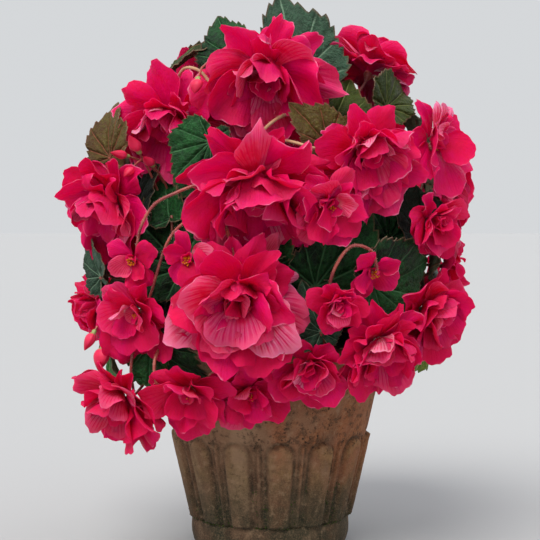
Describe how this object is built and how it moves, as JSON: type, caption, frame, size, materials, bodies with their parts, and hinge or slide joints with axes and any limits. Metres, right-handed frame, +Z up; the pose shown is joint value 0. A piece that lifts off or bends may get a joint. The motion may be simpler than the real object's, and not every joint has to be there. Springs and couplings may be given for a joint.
{
  "type": "potted begonia",
  "caption": "Trailing tuberous begonia in full bloom, with double pink-red flowers and toothed leaves, in a round terracotta pot with a band of raised round-topped lobes.",
  "frame": {"origin": "centre of the pot's foot, on the surface that it stands on", "axes": "+Z up; -Y out of the side that the picture shows; +X to the right in that view"},
  "size_m": [0.3575, 0.3782, 0.4897],
  "materials": {
    "terracotta": "weathered unglazed terracotta, with dark moss and dirt low down and in the grooves",
    "soil": "damp dark potting soil, matt and crumbly",
    "leaf": "satin dark green leaves with paler veins, on red-brown fleshy stalks",
    "petal": "soft satin pink-red petals with fine veins"
  },
  "bodies": {
    "root": {"pot": "terracotta", "soil": "soil", "leafy_stem_crown": "leaf", "leafy_stem_front": "leaf", "leafy_stem_front_right": "leaf", "leafy_stem_right": "leaf", "leafy_stem_back_right": "leaf", "leafy_stem_back": "leaf", "leafy_stem_back_left": "leaf", "leafy_stem_left": "leaf", "leafy_stem_front_left": "leaf", "bloom_top": "petal", "bloom_top_left": "petal", "bloom_top_right": "petal", "bloom_centre_high": "petal", "bloom_centre_low": "petal", "bloom_heart": "petal", "bloom_right_high": "petal", "bloom_right_edge": "petal", "bloom_right_rosette": "petal", "bloom_left_edge": "petal", "bloom_left_small": "petal", "bloom_left_low": "petal", "bloom_left_inner": "petal", "bloom_right_bud": "petal", "bloom_right_nodding": "petal", "bloom_right_low": "petal", "bloom_right_lower": "petal", "bloom_rim_middle": "petal", "bloom_rim_left": "petal", "bloom_rim_centre": "petal", "bloom_trailing_left": "petal", "bloom_right_side": "petal", "bloom_side_high": "petal", "bloom_back_top": "petal", "bloom_back_top_left": "petal", "bloom_side_right": "petal", "bloom_back_right": "petal", "bloom_back": "petal", "bloom_back_left": "petal", "bloom_side_left": "petal", "bloom_low_right": "petal", "bloom_low_back_right": "petal", "bloom_low_back": "petal", "bloom_low_back_left": "petal", "bloom_low_left": "petal", "bloom_low_side_left": "petal"}
  },
  "joints": []
}
